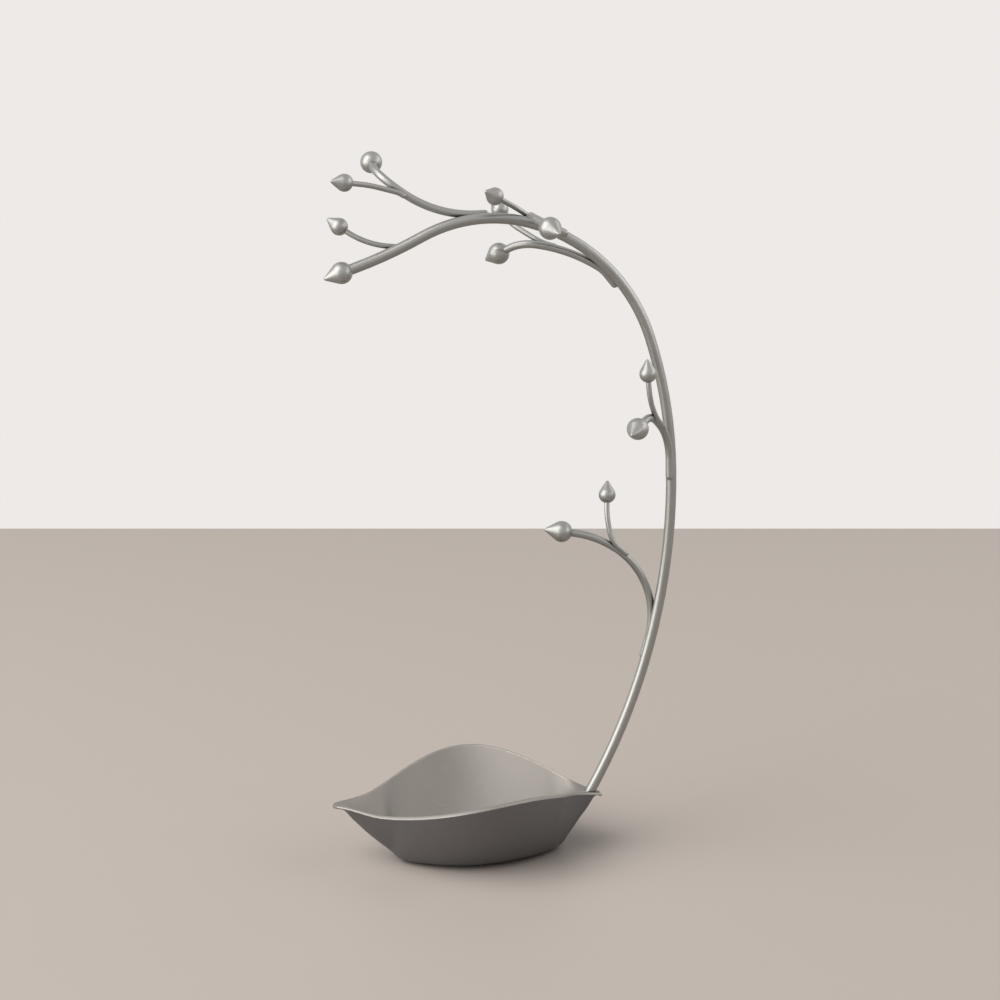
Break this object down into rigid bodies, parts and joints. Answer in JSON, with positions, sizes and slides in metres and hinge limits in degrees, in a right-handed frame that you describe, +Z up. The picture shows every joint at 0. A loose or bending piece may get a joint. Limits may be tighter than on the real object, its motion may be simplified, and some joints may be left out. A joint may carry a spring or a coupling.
{
  "type": "jewelry tree",
  "caption": "Free-standing jewelry tree: a leaf-shaped dish with an arched stem and forked wire branches that end in teardrop buds, for hanging necklaces and holding small things.",
  "frame": {"origin": "centre of the leaf dish's plan, on the plane that the pad rests on", "axes": "+Z up, +X along the leaf toward the tip that carries the stem, -Y toward the viewer of the picture"},
  "size_m": [0.1772, 0.1012, 0.3562],
  "materials": {
    "dish_metal": "satin",
    "stem_metal": "satin",
    "wire_metal": "satin",
    "bud_metal": "satin",
    "stud_steel": "satin",
    "pad_rubber": "matte"
  },
  "bodies": {
    "root": {"leaf_dish": "dish_metal", "dish_pad": "pad_rubber", "stem_rod": "stem_metal", "stem_stud": "stud_steel", "stem_bud": "bud_metal", "top_branch_wire": "wire_metal", "top_branch_bud": "bud_metal", "front_branch_wire": "wire_metal", "front_branch_bud": "bud_metal", "back_branch_wire": "wire_metal", "back_branch_bud": "bud_metal", "shoulder_branch_wire": "wire_metal", "shoulder_branch_bud": "bud_metal", "low_branch_wire": "wire_metal", "low_branch_bud": "bud_metal", "top_twig_wire": "wire_metal", "top_twig_bud": "bud_metal", "end_twig_wire": "wire_metal", "end_twig_bud": "bud_metal", "crown_twig_wire": "wire_metal", "crown_twig_bud": "bud_metal", "back_twig_wire": "wire_metal", "back_twig_bud": "bud_metal", "shoulder_twig_wire": "wire_metal", "shoulder_twig_bud": "bud_metal", "low_twig_wire": "wire_metal", "low_twig_bud": "bud_metal"}
  },
  "joints": []
}
